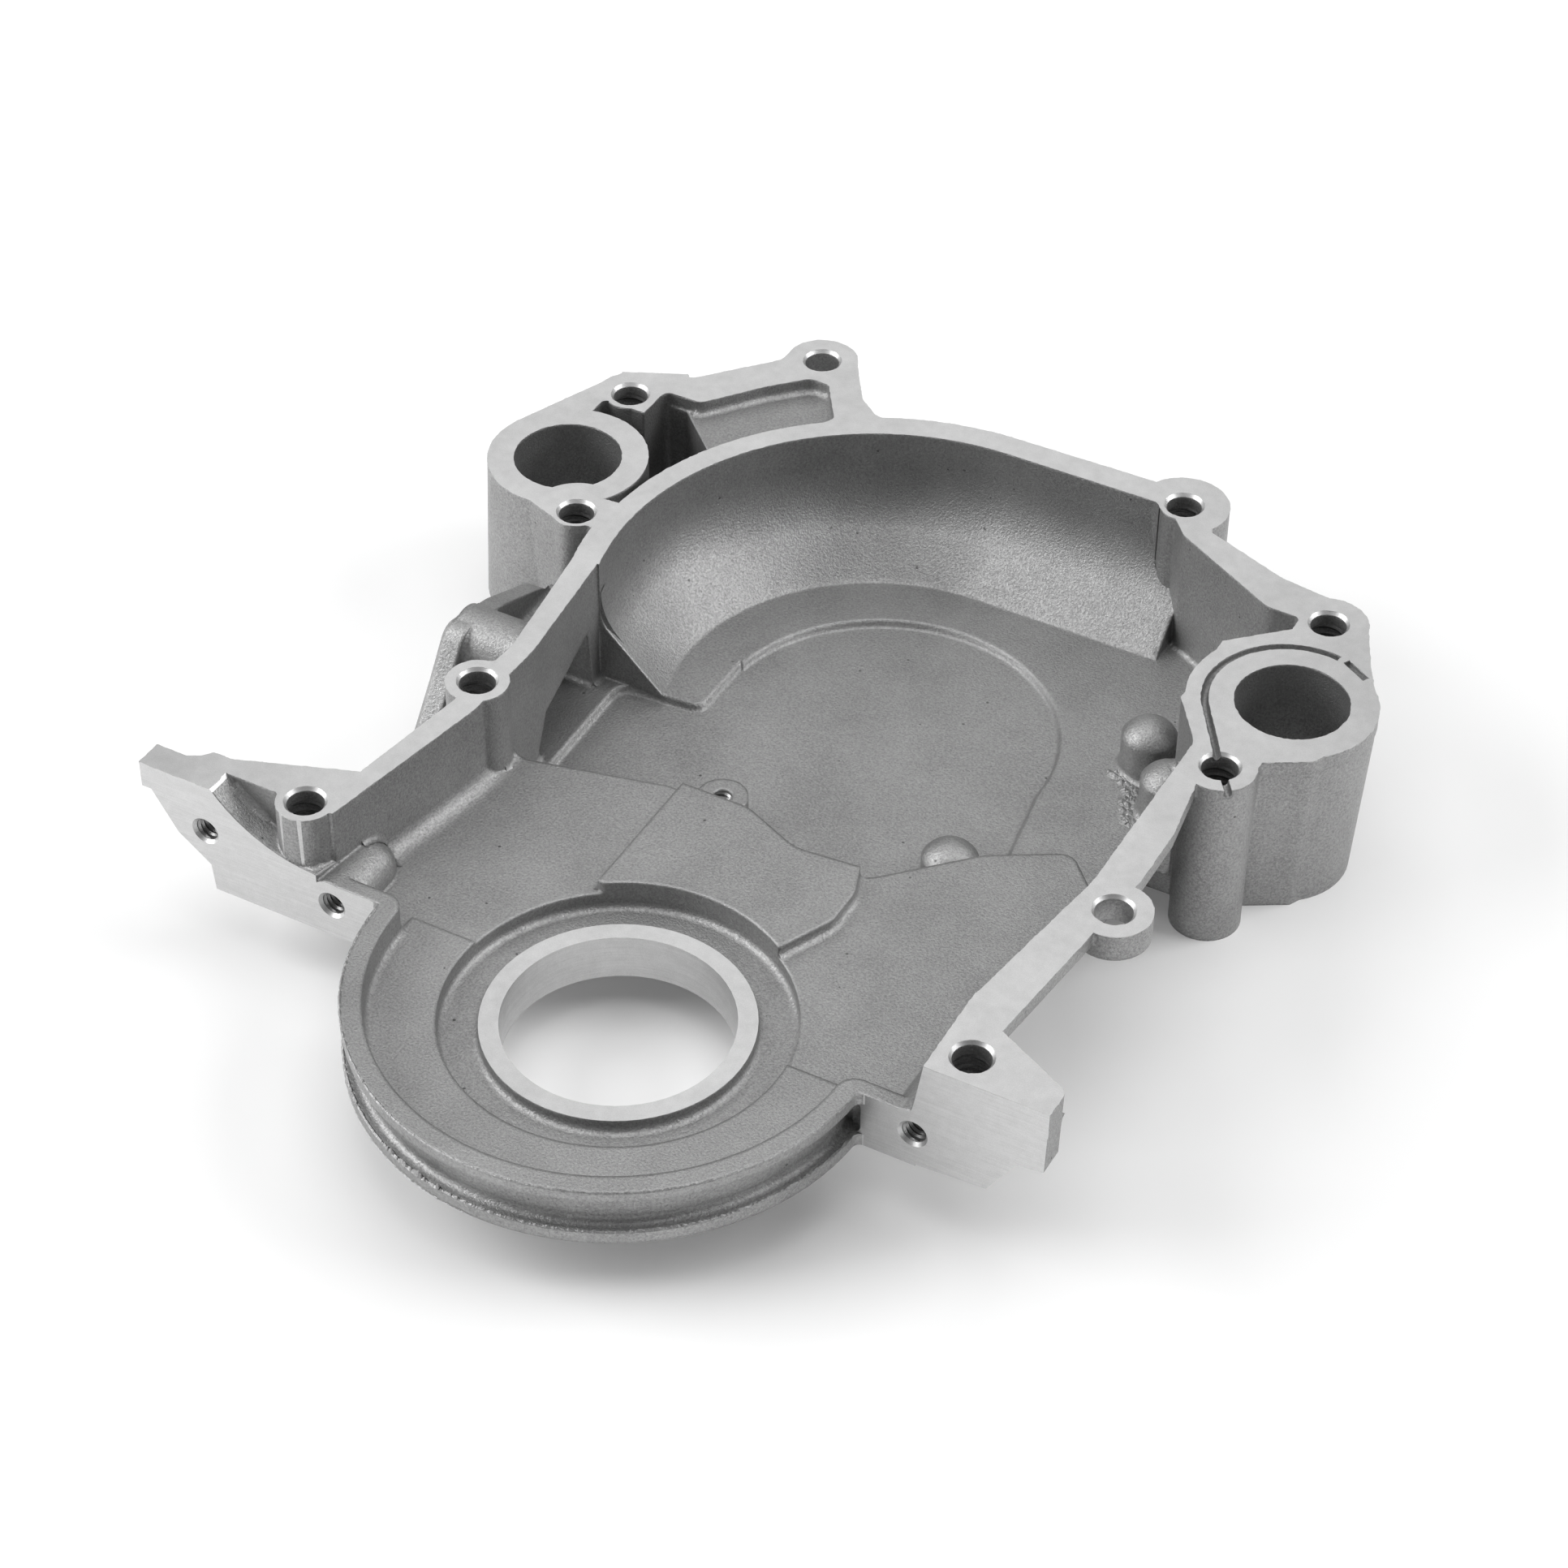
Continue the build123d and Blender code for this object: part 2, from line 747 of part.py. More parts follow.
    # Water ports
    with BuildSketch(at_depth(pump_depth + 1)):
        with Locations(port_left, port_right):
            Circle(port_r)
    extrude(amount=pump_depth + 1, mode=Mode.SUBTRACT)

    # Vent groove in the mounting face round the right water port
    with BuildSketch(at_depth(vent_depth)):
        with BuildLine() as vent_path:
            CenterArc(port_right, vent_r, 80.0, 133.0)
            Line(vent_path.line @ 1, bolt_h[0])
        trace(vent_path.line, line_width=vent_width)
        with BuildLine() as vent_slot:
            Line((115.3, 187.6), (122.9, 183.1))
        trace(vent_slot.line, line_width=vent_width)
        with BuildLine() as vent_end:
            Line(bolt_h[0], (111.0, 121.3))
        trace(vent_end.line, line_width=vent_width)
    extrude(amount=vent_depth + 1, mode=Mode.SUBTRACT)

    # Bolt holes, chamfered at the mounting face
    for centre, boss_r, depth in bolts:
        with Locations((*centre, face_z)):
            CounterSinkHole(bolt_hole_r, bolt_hole_r + bolt_chamfer, depth + 1)

    # Threaded holes in the face of the oil pan rail
    with Locations(*[rail_face.offset(0.01) * Location((x, z)) for x, z in rail_holes]):
        CounterSinkHole(rail_hole_r, rail_hole_r + rail_chamfer, rail_hole_depth)

os.makedirs("parts", exist_ok=True)
timing_cover.part.label = "timing_cover"
export_step(timing_cover.part, "parts/timing_cover.step")
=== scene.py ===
"""Looks of the timing cover: an aluminium die casting, engine side up on a pale floor.

The casting is the CAD node itself. This script gives it a cast and machined finish, adds
the threads, flash, burrs and soft inner corners that are too fine for the solid, and sets
the studio. Lengths are in millimetres until they are handed to Blender.
"""
import json
import math

import bmesh
import bpy
from mathutils import Matrix, Vector, noise
from mathutils.bvhtree import BVHTree


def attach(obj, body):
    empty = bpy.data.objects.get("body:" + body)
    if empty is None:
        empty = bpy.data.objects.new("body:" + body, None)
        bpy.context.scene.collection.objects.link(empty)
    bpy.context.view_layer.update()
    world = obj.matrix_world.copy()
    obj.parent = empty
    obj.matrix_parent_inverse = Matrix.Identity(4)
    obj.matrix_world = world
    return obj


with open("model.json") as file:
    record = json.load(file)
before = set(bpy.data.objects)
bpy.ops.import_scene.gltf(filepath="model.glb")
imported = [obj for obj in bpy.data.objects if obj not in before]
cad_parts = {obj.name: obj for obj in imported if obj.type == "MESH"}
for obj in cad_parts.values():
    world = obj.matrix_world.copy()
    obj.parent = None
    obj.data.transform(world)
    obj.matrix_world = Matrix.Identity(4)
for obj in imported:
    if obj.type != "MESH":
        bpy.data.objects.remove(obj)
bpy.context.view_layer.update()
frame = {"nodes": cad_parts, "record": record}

MM = 0.001
FACE = 28.0            # height of the machined mounting face
REST = -25.0           # height of the floor
RAIL = -2.7            # Y of the machined pan rail
SEAL_BORE = 30.0       # radius of the seal bore
SEAL_BOSS = 35.2       # radius within which the top of the seal boss is machined
CHAMBER = (-4.5, 148.8)       # centre of the camshaft chamber's round top
CHAMBER_WALL = 78.7           # radius of its wall
SLOPE_FOOT = 60.0             # radius at which the shoulder meets the floor
CAM_FLOOR = -11.5             # height of the camshaft floor
RIM_LIPS = 68.75              # radius of the flash on the lips of the rim
UPPER_LIP, LOWER_LIP, LIP_FOOT = 10.6, -2.9, -6.5     # its heights
LEFT_PORT, LEFT_PORT_BORE = (-113.5, 165.45), 15.5
PORT_BOLT, PORT_BOLT_BOSS = (-98.0, 144.3), 13.2      # bolt boss beside the left port
CLOSE = 0.05           # slack when a point is matched to a face
CASTING = frame["nodes"]["timing_cover"]


# Materials

class Nodes:
    """Builds a node tree by short calls. A value is a number or another node's output."""

    def __init__(self, tree):
        self.tree = tree
        tree.nodes.clear()

    def add(self, kind, **settings):
        made = self.tree.nodes.new(kind)
        for name, value in settings.items():
            setattr(made, name, value)
        return made

    def set(self, socket, value):
        if isinstance(value, bpy.types.NodeSocket):
            self.tree.links.new(value, socket)
        else:
            socket.default_value = value

    def math(self, operation, *values):
        made = self.add("ShaderNodeMath", operation=operation)
        for socket, value in zip(made.inputs, values):
            self.set(socket, value)
        return made.outputs[0]

    def product(self, *values):
        result = values[0]
        for value in values[1:]:
            result = self.math("MULTIPLY", result, value)
        return result

    def most(self, *values):
        result = values[0]
        for value in values[1:]:
            result = self.math("MAXIMUM", result, value)
        return result

    def swing(self, value, amount):
        """A noise of 0 to 1 as a change of half the amount up or down."""
        return self.product(self.math("SUBTRACT", value, 0.5), amount)

    def sum(self, *values):
        result = values[0]
        for value in values[1:]:
            result = self.math("ADD", result, value)
        return result

    def between(self, value, low, high):
        return self.product(self.math("GREATER_THAN", value, low), self.math("LESS_THAN", value, high))

    def noise(self, place, scale, detail=2.0, rough=0.5):
        made = self.add("ShaderNodeTexNoise")
        self.set(made.inputs["Vector"], place)
        made.inputs["Scale"].default_value = scale
        made.inputs["Detail"].default_value = detail
        made.inputs["Roughness"].default_value = rough
        return made.outputs["Fac"]

    def ramp(self, value, *stops):
        made = self.add("ShaderNodeValToRGB")
        while len(made.color_ramp.elements) < len(stops):
            made.color_ramp.elements.new(0.5)
        for element, (place, shade) in zip(made.color_ramp.elements, stops):
            element.position = place
            element.color = (shade, shade, shade, 1)
        self.set(made.inputs[0], value)
        return made.outputs["Color"]

    def grey(self, shade):
        return self.ramp(shade, (0.0, 0.0), (1.0, 1.0))

    def mix(self, share, first, second, kind="FLOAT"):
        made = self.add("ShaderNodeMix", data_type=kind)
        self.set(made.inputs[0], share)
        ends = {"FLOAT": (2, 3), "VECTOR": (4, 5), "RGBA": (6, 7)}[kind]
        self.set(made.inputs[ends[0]], first)
        self.set(made.inputs[ends[1]], second)
        return made.outputs[{"FLOAT": 0, "VECTOR": 1, "RGBA": 2}[kind]]

    def bump(self, height, distance, strength=1.0, normal=None):
        made = self.add("ShaderNodeBump")
        made.inputs["Strength"].default_value = strength
        made.inputs["Distance"].default_value = distance
        self.set(made.inputs["Height"], height)
        if normal:
            self.set(made.inputs["Normal"], normal)
        return made.outputs[0]


def new_material(name):
    material = bpy.data.materials.new(name)
    material.use_nodes = True
    return material, Nodes(material.node_tree)


def machined_mask(n, place):
    """1 where the casting is machined: faces, seal bore and chamfers."""
    shape = n.add("ShaderNodeNewGeometry")
    where = n.add("ShaderNodeSeparateXYZ")
    n.set(where.inputs[0], place)
    x, y, z = where.outputs
    facing = n.add("ShaderNodeSeparateXYZ")
    n.set(facing.inputs[0], shape.outputs["True Normal"])
    _, facing_y, facing_z = facing.outputs
    radius = n.math("SQRT", n.sum(n.product(x, x), n.product(y, y)))
    face = n.math("GREATER_THAN", z, FACE - CLOSE)
    face_chamfers = n.product(n.math("GREATER_THAN", z, FACE - 0.95), n.between(facing_z, 0.3, 0.95))
    rail = n.product(n.between(y, RAIL - CLOSE, RAIL + CLOSE), n.math("LESS_THAN", facing_y, -0.97))
    rail_chamfers = n.product(n.between(y, RAIL, RAIL + 1.15), n.between(facing_y, -0.95, -0.3))
    bore = n.product(n.math("LESS_THAN", radius, SEAL_BORE + CLOSE), n.math("LESS_THAN", z, CLOSE))
    boss = n.product(n.math("LESS_THAN", radius, SEAL_BOSS), n.between(z, -CLOSE, CLOSE))
    seat = n.product(n.math("LESS_THAN", z, REST + CLOSE), n.math("LESS_THAN", facing_z, -0.9))
    chamfers = n.most(face_chamfers, rail_chamfers)
    return n.most(face, rail, bore, boss, seat, chamfers), chamfers


def shoulder_mask(n, place):
    """1 in the wide hollow bend where the upper floor runs down to the camshaft chamber."""
    where = n.add("ShaderNodeSeparateXYZ")
    n.set(where.inputs[0], place)
    x, y, z = where.outputs
    across, along = n.math("SUBTRACT", x, CHAMBER[0]), n.math("SUBTRACT", y, CHAMBER[1])
    radius = n.math("SQRT", n.sum(n.product(across, across), n.product(along, along)))
    ring = n.product(n.between(radius, SLOPE_FOOT + 0.5, CHAMBER_WALL + 5.3), n.math("GREATER_THAN", y, 140.0))
    return n.product(ring, n.between(z, CAM_FLOOR + 0.5, 20.0))


def object_place(n):
    """Place on the casting."""
    scaled = n.add("ShaderNodeVectorMath", operation="SCALE")
    n.set(scaled.inputs[0], n.add("ShaderNodeTexCoord").outputs["Object"])
    scaled.inputs["Scale"].default_value = 1 / MM
    return scaled.outputs[0]


def casting_material(name, rounded):
    """Cast skin and machined faces. Rounded, its cast edges are softened in the shading."""
    material, n = new_material(name)
    place = object_place(n)
    machined, chamfers = machined_mask(n, place)

    grain = n.noise(place, 1.5, 3.0, 0.6)
    speckle = n.noise(place, 3.4, 2.0, 0.5)
    clouds = n.noise(place, 0.05, 3.0, 0.55)
    cells = n.add("ShaderNodeTexVoronoi")
    n.set(cells.inputs["Vector"], place)
    cells.inputs["Scale"].default_value = 0.11
    pits = n.math("LESS_THAN", cells.outputs["Distance"], 0.045)
    shade = n.sum(n.swing(grain, 0.34), n.swing(clouds, 0.16), n.swing(speckle, 0.22), 0.37)
    cast_colour = n.grey(n.math("SUBTRACT", shade, n.product(pits, 0.2)))

    wear = n.noise(place, 0.35, 4.0, 0.6)
    fine = n.noise(place, 3.0, 2.0, 0.6)
    stretched = n.add("ShaderNodeVectorMath", operation="MULTIPLY")
    n.set(stretched.inputs[0], place)
    stretched.inputs[1].default_value = (0.05, 0.05, 1.6)
    turning = n.noise(stretched.outputs[0], 1.0, 4.0, 0.7)
    machined_colour = n.grey(n.sum(n.swing(wear, 0.14), n.swing(fine, 0.20), n.swing(turning, 0.22), 0.62))

    soft_edge = None
    if rounded:
        soft_edge = n.add("ShaderNodeBevel", samples=8).outputs[0]
        n.set(soft_edge.node.inputs["Radius"], n.mix(shoulder_mask(n, place), 1.5 * MM, 3.0 * MM))
    cast_height = n.sum(n.product(grain, 0.7), n.product(speckle, 0.3))
    cast_height = n.math("SUBTRACT", cast_height, n.product(pits, 0.5))
    cast_normal = n.bump(cast_height, 0.26 * MM, 1.0, soft_edge)
    machined_normal = n.bump(fine, 0.012 * MM, 0.5)

    skin = n.add("ShaderNodeBsdfPrincipled")
    n.set(skin.inputs["Base Color"], n.mix(machined, cast_colour, machined_colour, "RGBA"))
    skin.inputs["Metallic"].default_value = 1.0
    cast_rough = n.ramp(grain, (0.3, 0.60), (0.7, 0.46))
    machined_rough = n.mix(chamfers, 0.36, 0.46)
    n.set(skin.inputs["Roughness"], n.mix(machined, cast_rough, machined_rough))
    n.set(skin.inputs["Normal"], n.mix(machined, cast_normal, machined_normal, "VECTOR"))
    end = n.add("ShaderNodeOutputMaterial")
    n.set(end.inputs["Surface"], skin.outputs[0])
    return material


def bright_metal(name, colour, roughness):
    """Freshly cut or torn metal, as on thread crests and flash. The dark colours given to the threads are
    painted shade inside the holes.
    """
    material, n = new_material(name)
    place = object_place(n)
    grain = n.noise(place, 4.0, 3.0, 0.6)
    skin = n.add("ShaderNodeBsdfPrincipled")
    n.set(skin.inputs["Base Color"], n.grey(n.sum(n.swing(grain, 0.5), colour)))
    skin.inputs["Metallic"].default_value = 1.0
    skin.inputs["Roughness"].default_value = roughness
    n.set(skin.inputs["Normal"], n.bump(grain, 0.05 * MM, 0.6))
    end = n.add("ShaderNodeOutputMaterial")
    n.set(end.inputs["Surface"], skin.outputs[0])
    return material


casting = casting_material("cast_and_machined_aluminium", True)
cast_skin = casting_material("cast_aluminium_skin", False)
# The two thread colours are set dark as painted shade, standing in for the shade inside the bolt holes and
# tapped holes.
cut_metal_painted_shade = bright_metal("cut_threads_painted_shade", 0.20, 0.50)
tapped_metal_painted_shade = bright_metal("tapped_threads_painted_shade", 0.34, 0.34)
torn_metal = bright_metal("torn_flash", 0.62, 0.38)
for slot in CASTING.material_slots:
    slot.material = casting


# Threads, flash and seams: pieces too fine for the solid

def add_mesh(name, points, faces, material):
    mesh = bpy.data.meshes.new(name)
    mesh.from_pydata(points, [], faces)
    mesh.materials.append(material)
    made = bpy.data.objects.new(name, mesh)
    bpy.context.scene.collection.objects.link(made)
    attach(made, "root")
    return made


def piece(name, strips, material, curved=False):
    """One object of ruled strips; each strip is a list of sections with equal numbers of points.

    A curved strip is smooth but for its two sides at the first point, which lie in the metal."""
    points, faces, smooth = [], [], []
    for strip in strips:
        strip = list(strip)
        first, around = len(points), len(strip[0])
        points.extend(point for section in strip for point in section)
        for row in range(len(strip) - 1):
            for side in range(around):
                a = first + row * around + side
                b = first + row * around + (side + 1) % around
                faces.append((a, b, b + around, a + around))
                smooth.append(curved and 0 < side < around - 1)
        last = len(points) - around
        faces += [tuple(range(first, first + around)), tuple(range(last, last + around))]
        smooth += [False, False]
    made = add_mesh(name, [point * MM for point in points], faces, material)
    made.data.polygons.foreach_set("use_smooth", smooth)
    outward = bmesh.new()
    outward.from_mesh(made.data)
    bmesh.ops.recalc_face_normals(outward, faces=outward.faces)
    for edge in outward.edges:
        edge.smooth = all(face.smooth for face in edge.link_faces)
    outward.to_mesh(made.data)
    outward.free()
    return made


def helix(centre, axis, radius, start, end, pitch, height, sides=36):
    """Sections of one thread ridge on the wall of a hole, from start to end along the axis."""
    turn = Vector(axis).to_track_quat("Z", "Y")
    steps = int((end - start) / pitch * sides)
    for step in range(steps + 1):
        angle = math.tau * step / sides
        along = start + (end - start) * step / steps
        ridge = height * min(1, step / 9, (steps - step) / 9)
        ring = Vector((math.cos(angle), math.sin(angle), 0))
        corners = [(radius + 0.1, -0.42 * pitch), (radius - ridge, 0.0), (radius + 0.1, 0.42 * pitch)]
        yield [Vector(centre) + turn @ (ring * r + Vector((0, 0, along + z))) for r, z in corners]


def fin(path, rise, height, width, seed, rough=0.8):
    """Sections of a thin ragged ridge along path, standing up along rise."""
    for count, point in enumerate(path):
        ahead = path[min(count + 1, len(path) - 1)] - path[max(count - 1, 0)]
        stand = Vector(rise(point) if callable(rise) else rise).normalized()
        across = ahead.cross(stand).normalized()
        ragged = noise.noise(point * 0.9 + Vector((seed, 0, 0))) + 0.6 * noise.noise(point * 2.7)
        tall = max(0.02, height * (1 + rough * 1.8 * ragged))
        wide = width * (1 + 0.4 * rough * ragged)
        foot = point - stand * CLOSE
        yield [foot - across * wide, point + stand * tall, foot + across * wide]


def run(start, end, step=0.35):
    start, end = Vector(start), Vector(end)
    count = max(2, int((end - start).length / step))
    return [start.lerp(end, k / count) for k in range(count + 1)]


def arc(radius, height, first, last, step=0.4):
    """Points on a level arc round the seal bore, its angles in degrees from X."""
    count = int(abs(math.radians(last - first)) * radius / step)
    angles = [math.radians(first + (last - first) * k / count) for k in range(count + 1)]
    return [Vector((radius * math.cos(a), radius * math.sin(a), height)) for a in angles]


def threads():
    """Drill marks in the deep bolt holes and threads in the tapped ones, placed by the record's mounts."""
    bored, tapped = [], []
    for mount in frame["record"]["mounts"]:
        centre, axis = Vector(mount["pos_m"]) / MM, mount["axis"]
        sizes = mount.get("dims") or {}
        radius, length = sizes.get("r_mm"), sizes.get("length_mm")
        if mount["name"].startswith("bolt_hole") and length > 15:
            bored.append(helix(centre, axis, radius, length / 2 - 15.0, length / 2 - 3.5, 2.3, 0.3))
        elif mount["kind"] == "threaded_hole":
            tapped.append(helix(centre, axis, radius, 1.2 - length / 2, length / 2 - 0.5, 1.4, 0.55))
    # Both thread pieces take the dark thread materials, whose colour is painted shade inside the holes.
    piece("bolt_hole_marks_painted_shade", bored, cut_metal_painted_shade)
    piece("tapped_threads_painted_shade", tapped, tapped_metal_painted_shade)


def face_edges():
    """Edges of the mounting face on the casting's own mesh, each with the way off the face."""
    mesh = CASTING.data
    to_root = CASTING.matrix_world
    level = [(to_root @ vertex.co).z / MM > FACE - 0.01 for vertex in mesh.vertices]
    found = []
    flat = {}
    for face in mesh.polygons:
        if face.normal.z > 0.999 and all(level[v] for v in face.vertices):
            for pair in face.edge_keys:
                flat.setdefault(pair, []).append(face)
    for (first, second), faces in flat.items():
        if len(faces) == 1:
            a, b = (to_root @ mesh.vertices[v].co / MM for v in (first, second))
            off = (b - a).cross(Vector((0, 0, 1))).normalized()
            middle = to_root @ faces[0].center / MM
            if off.dot((a + b) / 2 - middle) < 0:
                off.negate()
            found.append((a, b, off))
    return found


def burr(edges):
    """Ragged lip of torn metal along sharp edges, a little below the face."""
    for a, b, off in edges:
        strip = []
        for point in run(a, b, 0.5):
            ragged = noise.noise(point * 0.55) + 0.7 * noise.noise(point * 1.9)
            out = max(0.0, 0.06 + 0.22 * ragged)
            top = point - Vector((0, 0, 0.02))
            root = top - off * CLOSE
            strip.append([root, top + off * out, root - Vector((0, 0, 0.3 + out))])
        yield strip


class CastCorners:
    """Hollow radii in the sharp inner corners of the casting, found on its own mesh."""

    BLUNT = 0.45       # two faces count as a corner when their normals agree less than this
    HOLLOW = 0.35      # and as a hollow one when each leans over the other by more than this
    ALIKE = 0.8        # corners that run and open alike share one section where they meet

    def __init__(self):
        mesh, to_root = CASTING.data, CASTING.matrix_world
        self.points = [to_root @ v.co / MM for v in mesh.vertices]
        merged, self.index = {}, []
        for point in self.points:
            key = tuple(round(c, 2) for c in point)
            self.index.append(merged.setdefault(key, len(self.index)))
        self.faces = [tuple(f.vertices) for f in mesh.polygons]
        self.tree = BVHTree.FromPolygons(self.points, self.faces)
        self.corners = self.find()

    def normal(self, face):
        a, b, c = (self.points[v] for v in face[:3])
        return (b - a).cross(c - a).normalized()

    def find(self):
        """Edges whose two faces meet in a hollow, with the ways along both faces."""
        sides = {}
        for face in self.faces:
            for k, first in enumerate(face):
                pair = tuple(sorted((self.index[first], self.index[face[(k + 1) % len(face)]])))
                sides.setdefault(pair, []).append(face)
        corners = []
        for (first, second), faces in sides.items():
            if len(faces) != 2 or first == second:
                continue
            a, b = self.points[first], self.points[second]
            along = (b - a).normalized()
            normals = [self.normal(face) for face in faces]
            ways = []
            for face, up in zip(faces, normals):
                way = along.cross(up).normalized()
                middle = sum((self.points[v] for v in face), Vector()) / len(face)
                ways.append(way if way.dot(middle - a) > 0 else -way)
            leans = min(normals[0].dot(ways[1]), normals[1].dot(ways[0]))
            if leans > self.HOLLOW and normals[0].dot(normals[1]) < self.BLUNT:
                corners.append((first, second, normals, ways))
        return corners

    def room(self, point, way, up, wanted):
        """How far the face reaches along way from the corner, up to wanted."""
        step, reach = 0.2, 0.0
        while reach < wanted:
            reach += step
            probe = point + way * reach + up * 0.25
            if self.tree.ray_cast(probe, -up, 0.5)[0] is None:
                return reach - step
        hit = self.tree.ray_cast(point + up * 0.3 + way * 0.05, way, wanted * 2)
        return wanted if hit[0] is None else min(wanted, hit[3] * 0.5)

    def strips(self, wanted, rings=7, least=0.3):
        """Sections of a hollow along every corner, as wide as wanted asks and the faces allow."""
        ends = {}
        sized = []
        for first, second, normals, ways in self.corners:
            a, b = self.points[first], self.points[second]
            size = min(wanted((a + b) / 2), *(
                self.room(a.lerp(b, part), way, up, wanted(a.lerp(b, part)))
                for part in (0.1, 0.5, 0.9) for way, up in zip(ways, normals)))
            if size < least:
                continue
            if abs(normals[0].z) < abs(normals[1].z):
                ways = ways[::-1]
            sized.append((first, second, ways))
            for end in (first, second):
                ends.setdefault(end, []).append((ways, size, (b - a).normalized()))
        for first, second, ways in sized:
            a, b = self.points[first], self.points[second]
            along = (b - a).normalized()
            sections = []
            for end, point in ((first, a), (second, b)):
                near = [(w, s) for w, s, d in ends[end]
                        if min(abs(d.dot(along)), w[0].dot(ways[0]), w[1].dot(ways[1])) > self.ALIKE]
                level = sum((w[0] for w, _ in near), Vector()).normalized()
                rise = sum((w[1] for w, _ in near), Vector()).normalized()
                reach = min(s for _, s in near)
                section = [point - (level + rise) * CLOSE]
                for k in range(rings + 1):
                    turn = math.pi / 2 * k / rings
                    over, above = level * (1 - math.sin(turn)), rise * (1 - math.cos(turn))
                    section.append(point + over * reach + above * reach)
                sections.append(section)
            yield sections


def corner_radius(point):
    """Radius of the casting's inner corners near a point."""
    x, y, z = point
    machined = z > FACE - 1 or (y < RAIL + 1 and z > REST and math.hypot(x, y) > 72)
    left_wall = -100 < x < -60 and 5 < y < 75 and z < 5
    shoulder_end = -80 < x < -52 and 118 < y < 132 and z < 0
    return 0.0 if machined else 5.0 if left_wall or shoulder_end else 2.0


def shoulder_bend(radius=25.0, rings=12):
    """Wide hollow between the chamber's top wall and the slope, where the solid's bend is tighter."""
    centre = Vector((*CHAMBER, 0))
    corner = CAM_FLOOR + CHAMBER_WALL - SLOPE_FOOT
    middle = corner + radius * math.tan(math.radians(22.5))
    outline = [(CHAMBER_WALL + 0.2, corner)]
    outline += [(CHAMBER_WALL - radius + radius * math.cos(t), middle - radius * math.sin(t))
                for t in (math.radians(45) * k / rings for k in range(rings + 1))]
    spots = [(centre + Vector((x, 0, 0)), Vector((0, 1, 0))) for x in range(57, 0, -3)]
    turns = [math.radians(90 + 2 * k) for k in range(54)]
    spots += [(centre, Vector((math.cos(t), math.sin(t), 0))) for t in turns]
    return [[at + out * r + Vector((0, 0, z)) for r, z in outline] for at, out in spots]


def rough_patch(level=CAM_FLOOR - 0.1):
    """Torn metal at the foot of the upper dome, where the mould stuck."""
    track = [(62.6, 158.9), (66.1, 157.9), (69.3, 156.4), (71.9, 149.8), (75.0, 142.0), (76.4, 141.2)]
    strips = []
    for seed, shift in enumerate((-1.3, -0.4, 0.5, 1.4)):
        path = []
        for (x0, y0), (x1, y1) in zip(track, track[1:]):
            move = Vector((shift, shift * 0.4, level))
            path += run(Vector((x0, y0, 0)) + move, Vector((x1, y1, 0)) + move, 0.3)[:-1]
        for count, point in enumerate(path):
            wander_x = noise.noise(point * 0.5 + Vector((seed * 7, 0, 0)))
            wander_y = noise.noise(point * 0.6 + Vector((0, seed * 9, 0)))
            path[count] = point + Vector((wander_x, wander_y, 0)) * 1.2
        strips.append(fin(path, (0, 0, 1), 0.55 - 0.08 * seed, 1.5, 31 + seed, 0.5))
    return strips


def prism(name, ring, low, high, material):
    """A closed outline carried from one level to another."""
    count = len(ring)
    points = [(q.x * MM, q.y * MM, level * MM) for level in (low, high) for q in ring]
    faces = [tuple(range(count, 2 * count)), tuple(reversed(range(count)))]
    faces += [(k, (k + 1) % count, count + (k + 1) % count, count + k) for k in range(count)]
    return add_mesh(name, points, faces, material)


def lens_in_port(centre, radius, port, port_r, step=24):
    """Slice of a round boss that stands inside the water port, its edges sunk in the port wall."""
    centre, port = Vector(centre), Vector(port)
    away = (port - centre).normalized()
    side = Vector((-away.y, away.x))
    gap = (port - centre).length
    half = math.acos((radius**2 + gap**2 - port_r**2) / (2 * radius * gap))
    inner = [centre + radius * (away * math.cos(t) + side * math.sin(t))
             for t in (half * (2 * k / step - 1) for k in range(step + 1))]
    outer = [port + (point - port).normalized() * (port_r + 0.3) for point in reversed(inner)]
    return inner + outer


def flash():
    """Ragged fins where the mould parted: on the lips of the rim and down the port housings."""
    up = (0, 0, 1)
    rims = [
        fin(arc(RIM_LIPS, UPPER_LIP, 184, 250), up, 0.30, 0.35, 3, 1.0),
        fin(arc(RIM_LIPS, UPPER_LIP, 250, 356), up, 0.16, 0.25, 5, 0.8),
        fin(arc(RIM_LIPS, LOWER_LIP, 184, 356), up, 0.30, 0.40, 9, 1.0),
        fin(arc(RIM_LIPS + 0.05, LOWER_LIP, 246, 262), up, 0.75, 0.60, 14, 1.0),
        fin(arc(RIM_LIPS, LIP_FOOT, 200, 270), up, 0.25, 0.40, 20, 1.0),
    ]
    seams = [
        fin(run((-106.1, 143.65, 27.6), (-106.9, 142.1, -16)), (0.3, -1, 0), 0.45, 0.5, 2, 0.15),
        fin(run((118.5, 143.9, 27.4), (117.5, 146.0, -22)), (0.3, -1, 0), 0.4, 0.5, 4, 0.15),
    ]
    burrs = [
        fin(run((-126.2, 147.1, 27.7), (-105.8, 143.5, 27.7)), (0, -1, 0.2), 0.25, 0.25, 40, 1.0),
        fin(run((93.4, 122.0, 27.7), (94.6, 92.0, 27.7)), (-1, 0, 0.2), 0.22, 0.2, 44, 1.0),
    ]
    return rims + seams + burrs


threads()
piece("face_burrs", burr(face_edges()), torn_metal)
piece("flash", flash(), cast_skin)
piece("rough_patch", rough_patch(), cast_skin)
piece("cast_radii", CastCorners().strips(corner_radius), cast_skin, curved=True)
piece("shoulder_bend", [shoulder_bend()], cast_skin, curved=True)
prism("bolt_boss_in_port", lens_in_port(PORT_BOLT, PORT_BOLT_BOSS, LEFT_PORT, LEFT_PORT_BORE),
      REST + 0.02, FACE - 0.005, casting)


# Studio

